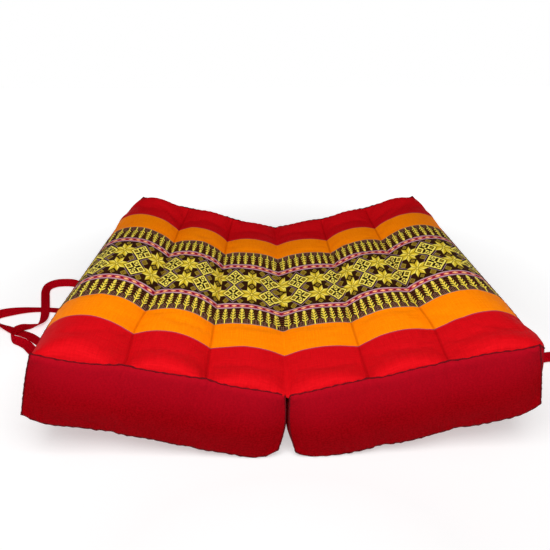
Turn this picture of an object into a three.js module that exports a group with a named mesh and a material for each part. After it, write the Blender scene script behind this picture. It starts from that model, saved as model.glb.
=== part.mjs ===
// A folding floor cushion of two filled halves joined by a sewn fold. It lies half open in a shallow V:
// the fold is at the top, the outer ends stand up and the inner lower edges are pressed flat on the floor.
// Units are millimetres with +Z up. The origin is on the floor under the middle of the fold, +X points
// to the right half and -Y to the front.

import * as THREE from "three";
import { mergeVertices } from "three/addons/utils/BufferGeometryUtils.js";

// Driving dimensions
const DEPTH = 450;
const BOXING_HEIGHT = 105.5;
const OPEN_TILT = THREE.MathUtils.degToRad(14.5);
const SINK = 5;
const CLEARANCE = 0.3;

// Sewn channels of one half, from the fold outwards. The seam on a channel's outer side sinks into the top
// by outerSink, and the crowns are the rise of the cloths over the chord between a channel's seams.
const CHANNELS = [
  { width: 87, outerSink: 11.5, topCrown: 4.5, underCrown: 10 },
  { width: 87, outerSink: 11, topCrown: 8.6, underCrown: 8 },
  { width: 93, outerSink: 17, topCrown: 13, underCrown: 7 },
];

// Side strips of one half. A strip bows out between its seams, most at peakShare of its height from the
// top and by cornerShare of that at its corner seams.
const STRIPS = {
  inner: { bow: 12.5, peakShare: 0.52, cornerShare: 0.33 },
  outer: { bow: 13, peakShare: 0.42, cornerShare: 0.3 },
  end: { bow: 8, peakShare: 0.5, cornerShare: 0 },
};

// The top and underside cloths roll over to their seams within ROLL_REACH. The top is fuller towards the
// front and back, by END_FULLNESS of its crown, and stands up by END_BUMP just inside their seams. The
// underside stands out by UNDER_RISE. Between its corners the outer top seam is pushed out by the half's
// bulge. The front and back seams are pulled in between the corners and nipped where a channel seam meets
// them, and the outer corners are lifted. The lower inner seam lies INNER_LEAN nearer to the fold.
const ROLL_REACH = 38;
const ROLL_POWER = 2.2;
const END_FULLNESS = 0.4;
const END_BUMP = 8;
const OUTER_BULGE = { reach: 60, power: 6 };
const UNDER_RISE = 4;
const CORNER_LIFT = { top: 5, under: 9 };
const INNER_LEAN = 14;
const BACK_DRAW_POWER = 14;
const SEAM_PULL = 2.5;
const SEAM_NIP = { depth: 2, reach: 9 };
const SEAM_RIPPLE = [
  { height: 1.2, wavelength: 190 },
  { height: 0.7, wavelength: 78 },
];
const FLOOR_ROUNDING = 4;

// The two halves. The left one is the right one turned half round about the fold's middle. The lower outer
// seam flares out from the upper one, and the outer corner at the object's back, the end backEnd of the
// half's own frame, is drawn in. The upper front seam drops from its place at the fold to the outer corner,
// and the lower one rises in an arc over span of the width.
const HALVES = [
  {
    name: "right_half",
    turn: 0,
    crownShare: 0.8,
    ripplePhase: 0.4,
    bulge: 10,
    flare: 2,
    backDraw: 3,
    backEnd: 1,
    frontDrop: { fold: 3.3, corner: 7.2 },
    frontRise: { height: -4, span: 0.55 },
  },
  {
    name: "left_half",
    turn: Math.PI,
    crownShare: 1.2,
    ripplePhase: 2.1,
    bulge: 4,
    flare: 8,
    backDraw: 10,
    backEnd: -1,
    frontDrop: { fold: 1.2, corner: 9 },
    frontRise: { height: 4.2, span: 2 },
  },
];

// Fold seam, a slim bar between the top inner edges of the halves
const FOLD_SEAM = { width: 3, height: 2.4, drop: 0.6, endInset: 7, sides: 8, steps: 16 };

// Ties, flat tapes of doubled cloth. Each is sewn to the outer end strip and hangs down it, then follows its
// own way on the floor. The rows give the middle of the tape, with its distance from the fold on the left
// and right side where it hangs. Roll turns its upper face to the right-hand side of its way, in degrees.
const TIE = { width: 15, thickness: 1.6, stepLength: 8 };
const HANG = [
  { height: 112.5, left: 292.9, right: 292.9 },
  { height: 106.0, left: 294.2, right: 293.4 },
  { height: 95.8, left: 294.9, right: 293.4 },
  { height: 85.0, left: 295.0, right: 293.3 },
  { height: 74.0, left: 295.0, right: 293.2 },
  { height: 63.6, left: 295.0, right: 293.2 },
  { height: 48.0, left: 295.1, right: 293.4 },
  { height: 34.0, left: 295.9, right: 294.3 },
  { height: 20.5, left: 298.4, right: 296.9 },
];
const TIES = [
  {
    name: "tie_left_rear",
    side: -1,
    hangsAt: 100,
    floorWay: [
      { x: -304, y: 104, z: 9.5, roll: 0 },
      { x: -317, y: 111, z: 4.0, roll: 0 },
      { x: -333, y: 126, z: 2.6, roll: -10 },
      { x: -350, y: 147, z: 4.4, roll: -25 },
      { x: -368, y: 171, z: 6.8, roll: -45 },
      { x: -388, y: 187, z: 8.2, roll: -62 },
      { x: -408, y: 190, z: 8.4, roll: -66 },
      { x: -425, y: 187, z: 8.2, roll: -60 },
      { x: -435, y: 177, z: 7.2, roll: -45 },
      { x: -434, y: 161, z: 5.6, roll: -25 },
      { x: -428, y: 144, z: 4.4, roll: -10 },
      { x: -420, y: 124, z: 4.4, roll: 0 },
      { x: -412, y: 104, z: 4.6, roll: 0 },
      { x: -405, y: 84, z: 4.0, roll: 5 },
      { x: -401, y: 66, z: 3.8, roll: 15 },
      { x: -402, y: 52, z: 5.4, roll: 30 },
      { x: -409, y: 42, z: 8.8, roll: 60 },
      { x: -420, y: 37, z: 10.8, roll: 80 },
      { x: -429, y: 29, z: 10.8, roll: 85 },
      { x: -430, y: 17, z: 9.6, roll: 80 },
      { x: -423, y: 7, z: 8.6, roll: 75 },
      { x: -411, y: 2, z: 8.0, roll: 60 },
      { x: -399, y: -4, z: 6.4, roll: 40 },
      { x: -387, y: -14, z: 4.0, roll: 20 },
      { x: -376, y: -24, z: 2.0, roll: 5 },
    ],
  },
  {
    name: "tie_left_front",
    side: -1,
    hangsAt: -100,
    floorWay: [
      { x: -304, y: -97, z: 9.5, roll: 0 },
      { x: -317, y: -90, z: 4.0, roll: 0 },
      { x: -331, y: -75, z: 2.0, roll: 0 },
      { x: -342, y: -52, z: 1.4, roll: 0 },
      { x: -349, y: -22, z: 1.4, roll: 0 },
      { x: -353, y: 10, z: 1.4, roll: 0 },
      { x: -356, y: 42, z: 1.4, roll: 0 },
      { x: -361, y: 70, z: 1.4, roll: 0 },
      { x: -371, y: 90, z: 1.5, roll: 0 },
      { x: -389, y: 101, z: 1.5, roll: 0 },
      { x: -409, y: 104, z: 1.5, roll: 0 },
      { x: -430, y: 104, z: 2.0, roll: -4 },
      { x: -450, y: 99, z: 4.2, roll: -20 },
      { x: -466, y: 91, z: 6.6, roll: -42 },
      { x: -479, y: 82, z: 8.2, roll: -62 },
      { x: -485, y: 71, z: 8.6, roll: -75 },
      { x: -478, y: 61, z: 7.8, roll: -60 },
      { x: -465, y: 53, z: 5.4, roll: -35 },
      { x: -450, y: 46, z: 3.0, roll: -12 },
      { x: -435, y: 38, z: 1.5, roll: 0 },
      { x: -420, y: 32, z: 1.5, roll: 0 },
      { x: -405, y: 24, z: 1.6, roll: 0 },
      { x: -392, y: 14, z: 1.6, roll: 0 },
      { x: -381, y: 6, z: 1.5, roll: 0 },
      { x: -371, y: 0, z: 1.4, roll: 0 },
    ],
  },
  {
    name: "tie_right_front",
    side: 1,
    hangsAt: -100,
    floorWay: [
      { x: 303, y: -97, z: 9.5, roll: 0 },
      { x: 317, y: -92, z: 4.8, roll: 8 },
      { x: 338, y: -84, z: 5.0, roll: 25 },
      { x: 362, y: -74, z: 7.4, roll: 48 },
      { x: 384, y: -64, z: 8.6, roll: 62 },
      { x: 403, y: -58, z: 8.0, roll: 52 },
      { x: 421, y: -57, z: 6.0, roll: 32 },
      { x: 437, y: -66, z: 3.2, roll: 10 },
      { x: 445, y: -84, z: 1.6, roll: 0 },
      { x: 443, y: -105, z: 1.4, roll: 0 },
      { x: 431, y: -122, z: 1.4, roll: 0 },
      { x: 413, y: -132, z: 1.4, roll: 0 },
      { x: 394, y: -141, z: 1.4, roll: 0 },
      { x: 375, y: -152, z: 1.4, roll: 0 },
      { x: 364, y: -170, z: 1.4, roll: 0 },
      { x: 366, y: -191, z: 1.4, roll: 0 },
      { x: 380, y: -205, z: 1.4, roll: 0 },
      { x: 400, y: -208, z: 1.4, roll: 0 },
      { x: 418, y: -199, z: 1.4, roll: 0 },
      { x: 428, y: -182, z: 1.4, roll: 0 },
      { x: 430, y: -162, z: 1.4, roll: 0 },
    ],
  },
  {
    name: "tie_right_rear",
    side: 1,
    hangsAt: 100,
    floorWay: [
      { x: 304, y: 103, z: 9.5, roll: 0 },
      { x: 318, y: 109, z: 4.0, roll: 0 },
      { x: 335, y: 119, z: 1.8, roll: 0 },
      { x: 350, y: 134, z: 1.4, roll: 0 },
      { x: 359, y: 154, z: 1.4, roll: 0 },
      { x: 357, y: 176, z: 1.4, roll: 0 },
      { x: 343, y: 192, z: 1.4, roll: 0 },
      { x: 322, y: 198, z: 1.4, roll: 0 },
      { x: 299, y: 196, z: 1.4, roll: 0 },
      { x: 277, y: 188, z: 1.4, roll: 0 },
      { x: 258, y: 175, z: 1.4, roll: 0 },
      { x: 244, y: 156, z: 1.4, roll: 0 },
      { x: 238, y: 132, z: 1.4, roll: 0 },
      { x: 242, y: 108, z: 1.4, roll: 0 },
      { x: 252, y: 86, z: 1.4, roll: 0 },
      { x: 262, y: 62, z: 1.4, roll: 0 },
      { x: 264, y: 36, z: 1.4, roll: 0 },
      { x: 256, y: 12, z: 1.4, roll: 0 },
      { x: 242, y: -8, z: 1.4, roll: 0 },
      { x: 226, y: -22, z: 1.4, roll: 0 },
    ],
  },
];

// Steps of the surface grids
const STEPS_PER_CHANNEL = 7;
const STEPS_ALONG = 26;
const STEPS_OF_HEIGHT = 7;
const END_CROWDING = 0.32;

const HALF_WIDTH = CHANNELS.reduce((sum, channel) => sum + channel.width, 0);
const HALF_DEPTH = DEPTH / 2;
const FOLD_HEIGHT = BOXING_HEIGHT * Math.cos(OPEN_TILT) - SINK;
const FOLD_EDGE = FOLD_SEAM.width / 2 + 3 * CLEARANCE;

// Rises from 0 at a seam to 1 at the given reach from it.
function roll(distance, reach = ROLL_REACH) {
  return 1 - (1 - THREE.MathUtils.clamp(distance / reach, 0, 1)) ** ROLL_POWER;
}

// The channel at a share of the half's width, with the place across the whole half, the arch over the
// channel and the sink of the chord between its seams.
function channelAt(shareAcross) {
  const scaled = shareAcross * CHANNELS.length;
  const index = Math.min(Math.floor(scaled + 1e-6), CHANNELS.length - 1);
  const within = THREE.MathUtils.clamp(scaled - index, 0, 1);
  const start = CHANNELS.slice(0, index).reduce((sum, channel) => sum + channel.width, 0);
  const innerSink = index > 0 ? CHANNELS[index - 1].outerSink : 0;
  return {
    ...CHANNELS[index],
    across: start + within * CHANNELS[index].width,
    arch: 1 - (2 * within - 1) ** 2,
    sink: THREE.MathUtils.lerp(innerSink, CHANNELS[index].outerSink, within),
  };
}

// How far a front or back seam is pulled in at a place across the half.
function seamPull(across) {
  const share = across / HALF_WIDTH;
  let pull = SEAM_PULL * 4 * share * (1 - share);
  let valley = 0;
  for (const channel of CHANNELS.slice(0, -1)) {
    valley += channel.width;
    pull += SEAM_NIP.depth * Math.exp(-(((across - valley) / SEAM_NIP.reach) ** 2));
  }
  return pull;
}

// The unevenness of a sewn edge along its length.
function seamRipple(along, phase) {
  let ripple = 0;
  SEAM_RIPPLE.forEach(({ height, wavelength }, order) => {
    ripple += height * Math.sin((2 * Math.PI * along) / wavelength + phase * (order + 1));
  });
  return ripple;
}

// How far a half's front seam lies off the level at a share of the width.
function frontOffset(share, isTop, half) {
  const { frontDrop, frontRise } = half;
  if (isTop) return -THREE.MathUtils.lerp(frontDrop.fold, frontDrop.corner, share ** 2);
  return frontRise.height * Math.sin(Math.PI * Math.min(share / frontRise.span, 1));
}

// A point of the top cloth (face 1) or the underside cloth (face 0) in the half's own level frame, measured
// from the fold: x outwards, y to the back, z up from the top seams.
function clothPoint(shareAcross, shareAlong, face, half) {
  const { across, arch, sink, topCrown, underCrown } = channelAt(shareAcross);
  const isTop = face === 1;
  const endPull = seamPull(across);
  const crowded = shareAlong * (1 + END_CROWDING * (1 - shareAlong ** 2));
  const along = crowded * (HALF_DEPTH - endPull);

  const backDraw = half.backDraw * ((1 + half.backEnd * (along / HALF_DEPTH)) / 2) ** BACK_DRAW_POWER;
  const outerEdge = HALF_WIDTH - backDraw + (isTop ? 0 : half.flare);
  const toEnd = HALF_DEPTH - endPull - Math.abs(along);
  const bulge = half.bulge * roll(toEnd, OUTER_BULGE.reach) * (across / HALF_WIDTH) ** OUTER_BULGE.power;
  const lean = INNER_LEAN * (1 - shareAcross) ** 6;
  const x = FOLD_EDGE + (across / HALF_WIDTH) * (outerEdge - FOLD_EDGE) + (isTop ? bulge : -lean);

  const endRoll = roll(toEnd);
  const sideRoll = roll(across) * roll(HALF_WIDTH - across);
  const fullness = half.crownShare * (1 + END_FULLNESS * (along / HALF_DEPTH) ** 2);
  const topSwell = endRoll * (fullness * topCrown + 4 * (1 - endRoll) * END_BUMP) * arch - endRoll * sink;
  const underSwell = endRoll * (UNDER_RISE * sideRoll + underCrown * arch);
  const ripple = (1 - endRoll) * seamRipple(across, half.ripplePhase + face);
  const corner = (1 - endRoll) * (1 - roll(HALF_WIDTH - across));
  const isFront = along * half.backEnd < 0;
  const front = isFront ? (1 - endRoll) * frontOffset(across / HALF_WIDTH, isTop, half) : 0;
  const lift = front + corner * (isTop ? CORNER_LIFT.top : CORNER_LIFT.under);
  return new THREE.Vector3(x, along, lift + ripple + (isTop ? topSwell : -underSwell - BOXING_HEIGHT));
}

// The outward bow of a side strip at a share of its height from the top.
function stripBow(strip, shareDown, cornerDistance) {
  const skew = Math.log(0.5) / Math.log(strip.peakShare);
  const fullness = THREE.MathUtils.lerp(strip.cornerShare, 1, roll(cornerDistance));
  return strip.bow * Math.sin(Math.PI * shareDown ** skew) * fullness;
}

// A point on the side strips, between the seams of the two cloths. The strips at the ends follow the
// corner seams of their neighbours.
function stripPoint(shareAcross, shareAlong, shareUp, half) {
  const top = clothPoint(shareAcross, shareAlong, 1, half);
  const under = clothPoint(shareAcross, shareAlong, 0, half);
  const point = under.clone().lerp(top, shareUp);
  const toEnd = HALF_DEPTH - Math.abs(point.y);
  const toSide = Math.min(point.x, HALF_WIDTH - point.x);
  point.x -= stripBow(STRIPS.inner, 1 - shareUp, toEnd) * (1 - shareAcross) ** 6;
  point.x += stripBow(STRIPS.outer, 1 - shareUp, toEnd) * shareAcross ** 6;
  if (shareAcross > 0 && shareAcross < 1) {
    point.y += Math.sign(shareAlong) * stripBow(STRIPS.end, 1 - shareUp, toSide);
  }
  return point;
}

// Flattens what would reach below the floor, with a soft turn up from it.
function pressOnFloor(z) {
  if (z <= -FLOOR_ROUNDING) return 0;
  if (z >= FLOOR_ROUNDING) return z;
  return (z + FLOOR_ROUNDING) ** 2 / (4 * FLOOR_ROUNDING);
}

// Tilts a level point up about the fold, presses it on the floor and keeps it on its own side of the fold.
function settle(point) {
  const x = point.x * Math.cos(OPEN_TILT) - point.z * Math.sin(OPEN_TILT);
  const z = FOLD_HEIGHT + point.x * Math.sin(OPEN_TILT) + point.z * Math.cos(OPEN_TILT);
  return new THREE.Vector3(Math.max(x, CLEARANCE / 2), point.y, pressOnFloor(z));
}

// One filled half: a stepped box whose points are moved onto the cushion's surface.
function halfGeometry(half) {
  const stepsAcross = STEPS_PER_CHANNEL * CHANNELS.length;
  const box = new THREE.BoxGeometry(1, 1, 1, stepsAcross, STEPS_ALONG, STEPS_OF_HEIGHT);
  box.deleteAttribute("normal");
  box.deleteAttribute("uv");
  const geometry = mergeVertices(box);
  const places = geometry.attributes.position;
  for (let i = 0; i < places.count; i += 1) {
    const shareAcross = places.getX(i) + 0.5;
    const shareAlong = 2 * places.getY(i);
    const shareUp = places.getZ(i) + 0.5;
    const onCloth = shareUp === 0 || shareUp === 1;
    const level = onCloth
      ? clothPoint(shareAcross, shareAlong, shareUp, half)
      : stripPoint(shareAcross, shareAlong, shareUp, half);
    places.setXYZ(i, ...settle(level).toArray());
  }
  geometry.computeVertexNormals();
  return geometry;
}

// The sewn join along the fold, a slim rounded bar.
function foldSeamGeometry() {
  const outline = new THREE.EllipseCurve(0, 0, FOLD_SEAM.height / 2, FOLD_SEAM.width / 2);
  const section = new THREE.Shape(outline.getPoints(FOLD_SEAM.sides).slice(0, -1));
  const reach = HALF_DEPTH - FOLD_SEAM.endInset;
  const height = FOLD_HEIGHT - FOLD_SEAM.drop;
  const front = new THREE.Vector3(0, -reach, height);
  const back = new THREE.Vector3(0, reach, height);
  const path = new THREE.LineCurve3(front, back);
  return new THREE.ExtrudeGeometry(section, { steps: FOLD_SEAM.steps, extrudePath: path });
}

// The direction of a tape's upper face before its roll: up on the floor and outwards where it hangs.
function tapeNormal(tangent, height, side) {
  const hanging = THREE.MathUtils.smoothstep(height, 12, 40);
  return new THREE.Vector3(side * hanging, 0, 1).projectOnPlane(tangent).normalize();
}

// A flat tape along its way: a long stepped box bent onto the curve.
function tieGeometry(tie) {
  const hang = HANG.map(({ height, left, right }) => ({
    x: tie.side < 0 ? -left : right,
    y: tie.hangsAt,
    z: height,
    roll: 0,
  }));
  const rows = [...hang, ...tie.floorWay];
  const curve = new THREE.CatmullRomCurve3(rows.map(({ x, y, z }) => new THREE.Vector3(x, y, z)));
  const steps = Math.round(curve.getLength() / TIE.stepLength);

  const box = new THREE.BoxGeometry(1, TIE.width, TIE.thickness, steps, 1, 1);
  box.deleteAttribute("normal");
  box.deleteAttribute("uv");
  const geometry = mergeVertices(box);
  const places = geometry.attributes.position;
  for (let i = 0; i < places.count; i += 1) {
    const share = places.getX(i) + 0.5;
    const row = curve.getUtoTmapping(share) * (rows.length - 1);
    const before = rows[Math.floor(row)];
    const after = rows[Math.ceil(row)];
    const roll = THREE.MathUtils.lerp(before.roll, after.roll, row % 1);
    const tangent = curve.getTangentAt(share);
    const point = curve.getPointAt(share);
    const normal = tapeNormal(tangent, point.z, tie.side);
    normal.applyAxisAngle(tangent, THREE.MathUtils.degToRad(roll));
    const left = normal.clone().cross(tangent);
    point.addScaledVector(left, places.getY(i)).addScaledVector(normal, places.getZ(i));
    places.setXYZ(i, ...point.toArray());
  }
  geometry.computeVertexNormals();
  return geometry;
}

const redCloth = new THREE.MeshStandardMaterial({ color: 0xc4121a, roughness: 0.85, metalness: 0 });
const sideCloth = new THREE.MeshStandardMaterial({ color: 0x9c0a18, roughness: 0.85, metalness: 0 });

// A named mesh.
function piece(name, geometry, material) {
  const mesh = new THREE.Mesh(geometry, material);
  mesh.name = name;
  return mesh;
}

const cushion = new THREE.Group();
for (const half of HALVES) {
  const side = new THREE.Group();
  side.rotation.z = half.turn;
  side.add(piece(half.name, halfGeometry(half), redCloth));
  cushion.add(side);
}
cushion.add(piece("fold_seam", foldSeamGeometry(), sideCloth));
for (const tie of TIES) {
  cushion.add(piece(tie.name, tieGeometry(tie), sideCloth));
}

export default cushion;
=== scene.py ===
"""Looks of the folding floor cushion: two filled halves in a striped cover, sewn in channels and tied with tapes.

Sizes are in millimetres in the classes below and in metres in the meshes. +X points to the right half, -Y to
the front and +Z up; the floor is at Z = 0.
"""

import logging
import math
from dataclasses import dataclass, field
from enum import Enum, IntEnum

import bmesh
import bpy
import numpy as np
from mathutils import Matrix, Vector


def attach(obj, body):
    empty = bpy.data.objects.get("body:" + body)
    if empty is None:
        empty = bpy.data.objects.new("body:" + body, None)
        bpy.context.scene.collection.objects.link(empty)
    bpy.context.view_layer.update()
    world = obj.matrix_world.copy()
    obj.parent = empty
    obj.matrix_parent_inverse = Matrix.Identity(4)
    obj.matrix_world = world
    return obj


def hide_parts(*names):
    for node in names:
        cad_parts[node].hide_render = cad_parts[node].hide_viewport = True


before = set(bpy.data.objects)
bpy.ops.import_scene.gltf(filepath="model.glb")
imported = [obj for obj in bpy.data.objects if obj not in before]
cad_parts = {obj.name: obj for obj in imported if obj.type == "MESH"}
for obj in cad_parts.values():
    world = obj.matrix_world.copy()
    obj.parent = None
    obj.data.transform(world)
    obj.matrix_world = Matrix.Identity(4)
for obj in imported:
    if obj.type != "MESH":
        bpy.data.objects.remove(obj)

log = logging.getLogger("cushion")
MM = 0.001
CLOTH_MAP = "cloth"
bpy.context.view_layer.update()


class Panel(IntEnum):
    """The cloth panels of a half, in the order of its material slots."""

    TOP = 0
    LONG_STRIP = 1
    SHORT_STRIP = 2
    UNDER = 3


class Level(Enum):
    """The two quilted cloths of a half, with the share of height that each is at."""

    UNDER = 0
    TOP = 1


def srgb(red: int, green: int, blue: int) -> tuple[float, float, float, float]:
    """A colour as picked on a screen, from 0 to 255, as the linear colour that a socket takes."""
    parts = (value / 255 for value in (red, green, blue))
    linear = [p / 12.92 if p <= 0.04045 else ((p + 0.055) / 1.055) ** 2.4 for p in parts]
    return (*linear, 1.0)


def link(name: str, mesh: bpy.types.Mesh) -> bpy.types.Object:
    """Puts a mesh in the scene as an object at the origin."""
    piece = bpy.data.objects.new(name, mesh)
    bpy.context.scene.collection.objects.link(piece)
    return piece


def stepped_box(steps: tuple[int, int, int]) -> bmesh.types.BMesh:
    """A unit box from -0.5 to 0.5 that is cut into a grid.

    Args:
        steps: the number of faces along X, Y and Z.

    Returns:
        The box, to be bent and freed by the caller.
    """
    box = bmesh.new()
    bmesh.ops.create_cube(box, size=1.0)
    for axis, count in enumerate(steps):
        if count > 1:
            runs = [e for e in box.edges if abs((e.verts[0].co - e.verts[1].co)[axis]) > 0.5]
            bmesh.ops.subdivide_edges(box, edges=runs, cuts=count - 1, use_grid_fill=True)
    return box


def vertex_places(mesh: bpy.types.Mesh) -> np.ndarray:
    """The places of a mesh's vertices, one row each."""
    places = np.empty(len(mesh.vertices) * 3)
    mesh.vertices.foreach_get("co", places)
    return places.reshape(-1, 3)


def put_vertices(mesh: bpy.types.Mesh, places: np.ndarray) -> None:
    """Moves a mesh's vertices to new places."""
    mesh.vertices.foreach_set("co", places.ravel())
    mesh.update()


class Shade:
    """A number at a point of a material. Python's operators add Math nodes."""

    def __init__(self, graph: "Graph", socket: bpy.types.NodeSocket) -> None:
        """Wraps a socket of a graph."""
        self.graph = graph
        self.socket = socket

    def math(self, operation: str, *others: "Shade | float") -> "Shade":
        """A Math node on this value and others."""
        return self.graph.math(operation, self, *others)

    def __add__(self, other: "Shade | float") -> "Shade":
        """Sum."""
        return self.math("ADD", other)

    __radd__ = __add__

    def __sub__(self, other: "Shade | float") -> "Shade":
        """Difference."""
        return self.math("SUBTRACT", other)

    def __rsub__(self, other: float) -> "Shade":
        """Difference from a number."""
        return self.graph.math("SUBTRACT", other, self)

    def __mul__(self, other: "Shade | float") -> "Shade":
        """Product."""
        return self.math("MULTIPLY", other)

    __rmul__ = __mul__

    def __truediv__(self, other: "Shade | float") -> "Shade":
        """Quotient."""
        return self.math("DIVIDE", other)

    def __mod__(self, other: float) -> "Shade":
        """Rest of a division, never negative."""
        return self.math("FLOORED_MODULO", other)

    def __abs__(self) -> "Shade":
        """Size without sign."""
        return self.math("ABSOLUTE")

    def __lt__(self, other: "Shade | float") -> "Shade":
        """1 where it is less, otherwise 0."""
        return self.math("LESS_THAN", other)

    def __gt__(self, other: "Shade | float") -> "Shade":
        """1 where it is more, otherwise 0."""
        return self.math("GREATER_THAN", other)

    def within(self, low: float, high: float) -> "Shade":
        """1 between two numbers, otherwise 0."""
        return (self > low) * (self < high)


class Graph:
    """The node tree of one material."""

    def __init__(self, name: str) -> None:
        """Starts a material of that name with a Principled shader."""
        self.material = bpy.data.materials.new(name)
        self.material.use_nodes = True
        self.tree = self.material.node_tree
        self.tree.nodes.clear()
        self.shader = self.tree.nodes.new("ShaderNodeBsdfPrincipled")
        output = self.tree.nodes.new("ShaderNodeOutputMaterial")
        self.tree.links.new(self.shader.outputs[0], output.inputs["Surface"])

    def node(self, kind: str, settings: dict, inputs: dict, output: int | str = 0) -> bpy.types.NodeSocket:
        """Adds a node.

        Args:
            kind: the node's type.
            settings: properties that are set first.
            inputs: values or links of its sockets, by name or number.
            output: the socket that is wanted.

        Returns:
            That output socket.
        """
        made = self.tree.nodes.new(kind)
        for key, value in settings.items():
            setattr(made, key, value)
        for key, value in inputs.items():
            self.feed(made.inputs[key], value)
        return made.outputs[output]

    def feed(self, socket: bpy.types.NodeSocket, value: object) -> None:
        """Links a socket, or sets it where the value is a plain number or colour."""
        if isinstance(value, Shade):
            value = value.socket
        if isinstance(value, bpy.types.NodeSocket):
            self.tree.links.new(value, socket)
        else:
            socket.default_value = value

    def math(self, operation: str, *values: Shade | float) -> Shade:
        """A Math node."""
        socket = self.node("ShaderNodeMath", {"operation": operation}, dict(enumerate(values)))
        return Shade(self, socket)

    def blend(self, share: Shade | float, under: object, over: object) -> bpy.types.NodeSocket:
        """A colour mixed from two by a share from 0 to 1."""
        settings = {"data_type": "RGBA", "clamp_factor": True}
        return self.node("ShaderNodeMix", settings, {0: share, 6: under, 7: over}, 2)

    def tint(self, share: Shade | float, under: object, over: object) -> bpy.types.NodeSocket:
        """A colour multiplied by another by a share."""
        settings = {"data_type": "RGBA", "clamp_factor": True, "blend_type": "MULTIPLY"}
        return self.node("ShaderNodeMix", settings, {0: share, 6: under, 7: over}, 2)

    def cloth(self) -> tuple[Shade, Shade]:
        """The place on the cloth in millimetres: across the stripes' length and along the fold."""
        u, v = self.parts(self.node("ShaderNodeUVMap", {"uv_map": CLOTH_MAP}, {}))
        return u * 1000.0, v * 1000.0

    def parts(self, place: bpy.types.NodeSocket) -> tuple[Shade, Shade]:
        """The first two numbers of a place."""
        first, second = (self.node("ShaderNodeSeparateXYZ", {}, {0: place}, part) for part in (0, 1))
        return Shade(self, first), Shade(self, second)

    def noise(self, u: Shade | float, v: Shade | float, detail: float = 2.0) -> Shade:
        """Noise from 0 to 1 on two scaled coordinates."""
        place = self.node("ShaderNodeCombineXYZ", {}, {0: u, 1: v})
        settings = {"noise_dimensions": "2D"}
        return Shade(self, self.node("ShaderNodeTexNoise", settings, {"Vector": place, "Scale": 1.0, "Detail": detail}))

    def bump(self, height: Shade, distance: float, strength: float) -> None:
        """Feeds a height in millimetres to the shader's normal."""
        inputs = {"Height": height, "Distance": distance, "Strength": strength}
        self.feed(self.shader.inputs["Normal"], self.node("ShaderNodeBump", {}, inputs))

    def finish(self, **sockets: object) -> bpy.types.Material:
        """Sets the shader's sockets, with _ for a blank in a name, and gives the material."""
        for name, value in sockets.items():
            self.feed(self.shader.inputs[name.replace("_", " ")], value)
        return self.material


@dataclass(frozen=True)
class Weave:
    """Plain weave of a cotton cloth."""

    pitch: float = 1.1
    depth: float = 0.22
    slub: float = 0.16

    def height(self, graph: Graph, u: Shade, v: Shade) -> Shade:
        """Height of the threads over the cloth."""
        turn = 2 * math.pi / self.pitch
        over = (u * turn).math("SINE") * (v * turn).math("SINE")
        slubs = graph.noise(u * 0.06, v * 1.1) + graph.noise(u * 1.1, v * 0.06)
        return over * self.depth + slubs * self.depth

    def streaks(self, graph: Graph, u: Shade, v: Shade) -> Shade:
        """Uneven dye along the threads, about 0 to 1."""
        return graph.noise(u * 0.05, v * 0.9, 3.0) * 0.5 + graph.noise(u * 0.9, v * 0.05, 3.0) * 0.5


@dataclass(frozen=True)
class PlainCloth:
    """A single-coloured cotton of the side strips, the underside and the ties."""

    name: str
    color: tuple[int, int, int]
    shadow: tuple[int, int, int]
    roughness: float = 0.72
    gloss: float = 0.008
    sheen: float = 0.02
    mottle: float = 3.6
    # painted sheen: a lighter, bluer colour that a side strip is blended towards near its top
    painted_top_sheen: tuple[int, int, int] | None = None
    painted_sheen_from: float = 50.0
    painted_sheen_to: float = 125.0
    weave: Weave = field(default_factory=Weave)

    def make(self) -> bpy.types.Material:
        """The material."""
        graph = Graph(self.name)
        u, v = graph.cloth()
        streaks = self.weave.streaks(graph, u, v)
        patches = graph.noise(u * 0.012, v * 0.012)
        flecks = graph.noise(u * 0.45, v * 0.45, 3.0) - 0.5
        share = (streaks - 0.5) * 1.8 + (patches - 0.5) * 0.8 + flecks * self.mottle + 0.5
        color = graph.blend(share, srgb(*self.color), srgb(*self.shadow))
        # painted sheen: above a height the colour grows lighter and bluer, standing in for light from above
        if self.painted_top_sheen:
            height = (v - self.painted_sheen_from) / (self.painted_sheen_to - self.painted_sheen_from)
            color = graph.blend(height + (streaks - 0.5) * 0.3, color, srgb(*self.painted_top_sheen))
        graph.bump(self.weave.height(graph, u, v), 0.0006, 0.5)
        rough = self.roughness + (streaks - 0.5) * 0.2
        tint = srgb(*self.color)
        return graph.finish(
            Base_Color=color,
            Roughness=rough,
            Specular_IOR_Level=self.gloss,
            Sheen_Weight=self.sheen,
            Sheen_Roughness=0.4,
            Sheen_Tint=tint,
        )


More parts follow.
